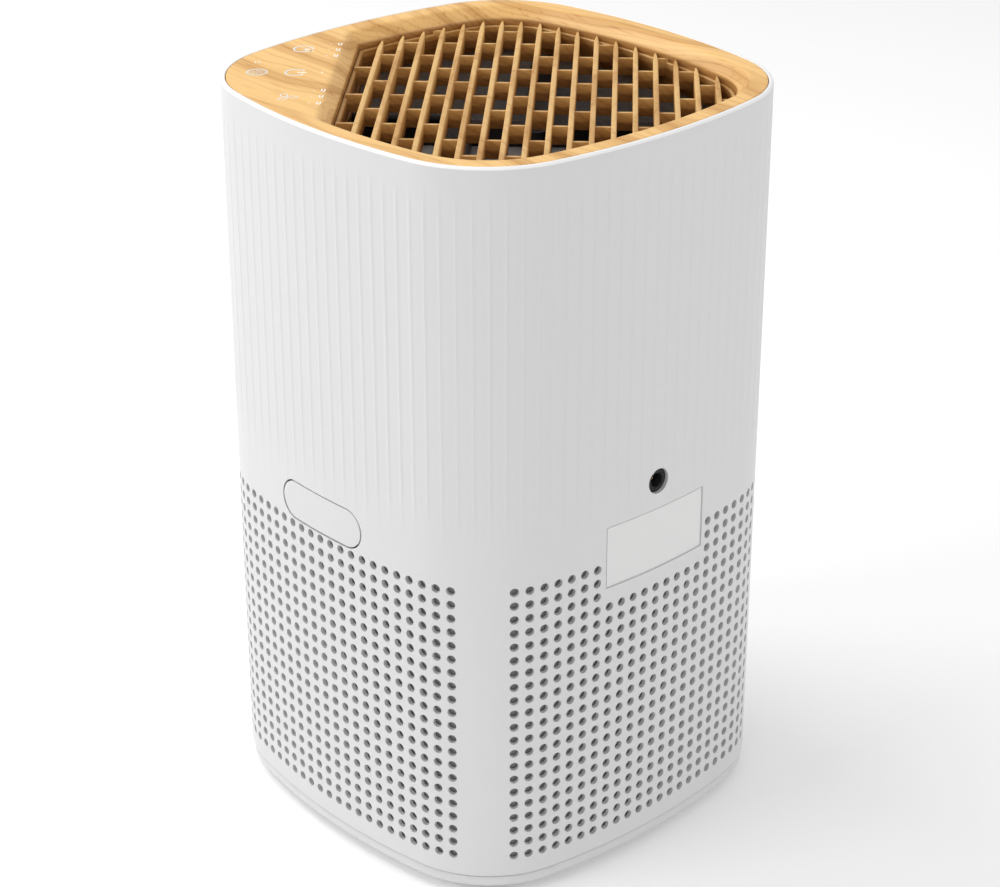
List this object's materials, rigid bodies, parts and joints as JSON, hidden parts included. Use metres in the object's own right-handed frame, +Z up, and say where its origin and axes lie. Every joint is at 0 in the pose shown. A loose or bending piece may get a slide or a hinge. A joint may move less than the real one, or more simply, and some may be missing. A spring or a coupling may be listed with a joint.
{
  "type": "air purifier",
  "caption": "Square-bodied tabletop air purifier with a fluted, perforated white housing, wood-look slatted top outlet, twist-off base cover and pull-out aroma tray.",
  "frame": {"origin": "on the floor plane under the middle of the body, at the underside of the feet", "axes": "+Z up; the flat-on faces look along +X, -X, +Y and -Y; power inlet on +X, aroma tray on -Y, touch panel over the (-X,-Y) corner"},
  "size_m": [0.2, 0.2, 0.33],
  "materials": {
    "housing_white": "fine satin texture, warm white",
    "base_white": "satin white",
    "cover_bamboo": "satin light-oak wood print",
    "grille_bamboo": "satin light-oak wood print",
    "foot_rubber": "matt grey rubber",
    "screw_steel": "zinc plated",
    "screw_black": "blackened",
    "board_green": "solder mask",
    "spring_steel": "bright",
    "guide_clear": "milky clear",
    "connector_white": "glossy",
    "duct_grey": "plain moulded",
    "bracket_black": "satin black",
    "motor_grey": "satin grey",
    "bearing_steel": "ground",
    "stator_copper": "enamelled windings",
    "jack_black": "semi gloss",
    "pin_brass": "nickel-plated",
    "label_white": "smooth blank film",
    "filter_cap_white": "plain moulded",
    "hepa_media": "pleated non-woven",
    "carbon_media": "granular",
    "net_grey": "fine net",
    "gasket_foam": "closed-cell foam",
    "tab_webbing": "woven tape",
    "lead_black": "soft sheath",
    "impeller_black": "satin black",
    "shaft_steel": "ground",
    "rotor_magnet": "coated",
    "pad_felt": "dense felt"
  },
  "bodies": {
    "housing": {"outer_housing": "housing_white", "base_tray": "base_white", "rubber_feet": "foot_rubber", "base_screws": "screw_steel", "top_cover": "cover_bamboo", "cover_screws": "screw_steel", "outlet_grille": "grille_bamboo", "control_board": "board_green", "touch_springs": "spring_steel", "indicator_light_guides": "guide_clear", "board_screws": "screw_steel", "motor_connector": "connector_white", "power_connector": "connector_white", "fan_deck": "duct_grey", "deck_screws": "screw_steel", "inlet_ring": "duct_grey", "fan_casing": "duct_grey", "casing_screws": "screw_steel", "air_duct": "duct_grey", "duct_screws": "screw_steel", "motor_bracket": "bracket_black", "bracket_screws": "screw_black", "motor_cup": "motor_grey", "motor_bearings": "bearing_steel", "motor_stator": "stator_copper", "power_jack": "jack_black", "power_jack_pin": "pin_brass", "jack_bracket": "duct_grey", "jack_screws": "screw_steel", "rating_label": "label_white", "aroma_sleeve": "duct_grey", "filter_top_cap": "filter_cap_white", "filter_bottom_cap": "filter_cap_white", "hepa_pleats": "hepa_media", "carbon_layer": "carbon_media", "prefilter_net": "net_grey", "filter_gasket": "gasket_foam", "filter_pull_tab": "tab_webbing", "power_lead": "lead_black", "motor_lead": "lead_black"},
    "fan_rotor": {"impeller": "impeller_black", "motor_shaft": "shaft_steel", "motor_rotor": "rotor_magnet", "impeller_nut": "shaft_steel"},
    "filter_cover": {"filter_cover": "base_white"},
    "aroma_drawer": {"aroma_tray": "housing_white", "aroma_pad": "pad_felt"}
  },
  "joints": [
    {"name": "impeller_spin", "type": "hinge", "parent": "housing", "child": "fan_rotor", "pos_m": [0, 0, 0.21], "axis": [0, 0, 1], "continuous": true},
    {"name": "filter_cover_twist", "type": "hinge", "parent": "housing", "child": "filter_cover", "pos_m": [0, 0, 0.006], "axis": [0, 0, 1], "range_deg": [0, 30]},
    {"name": "aroma_tray_slide", "type": "slide", "parent": "housing", "child": "aroma_drawer", "axis": [0, -1, 0], "range_m": [0, 0.03]}
  ]
}
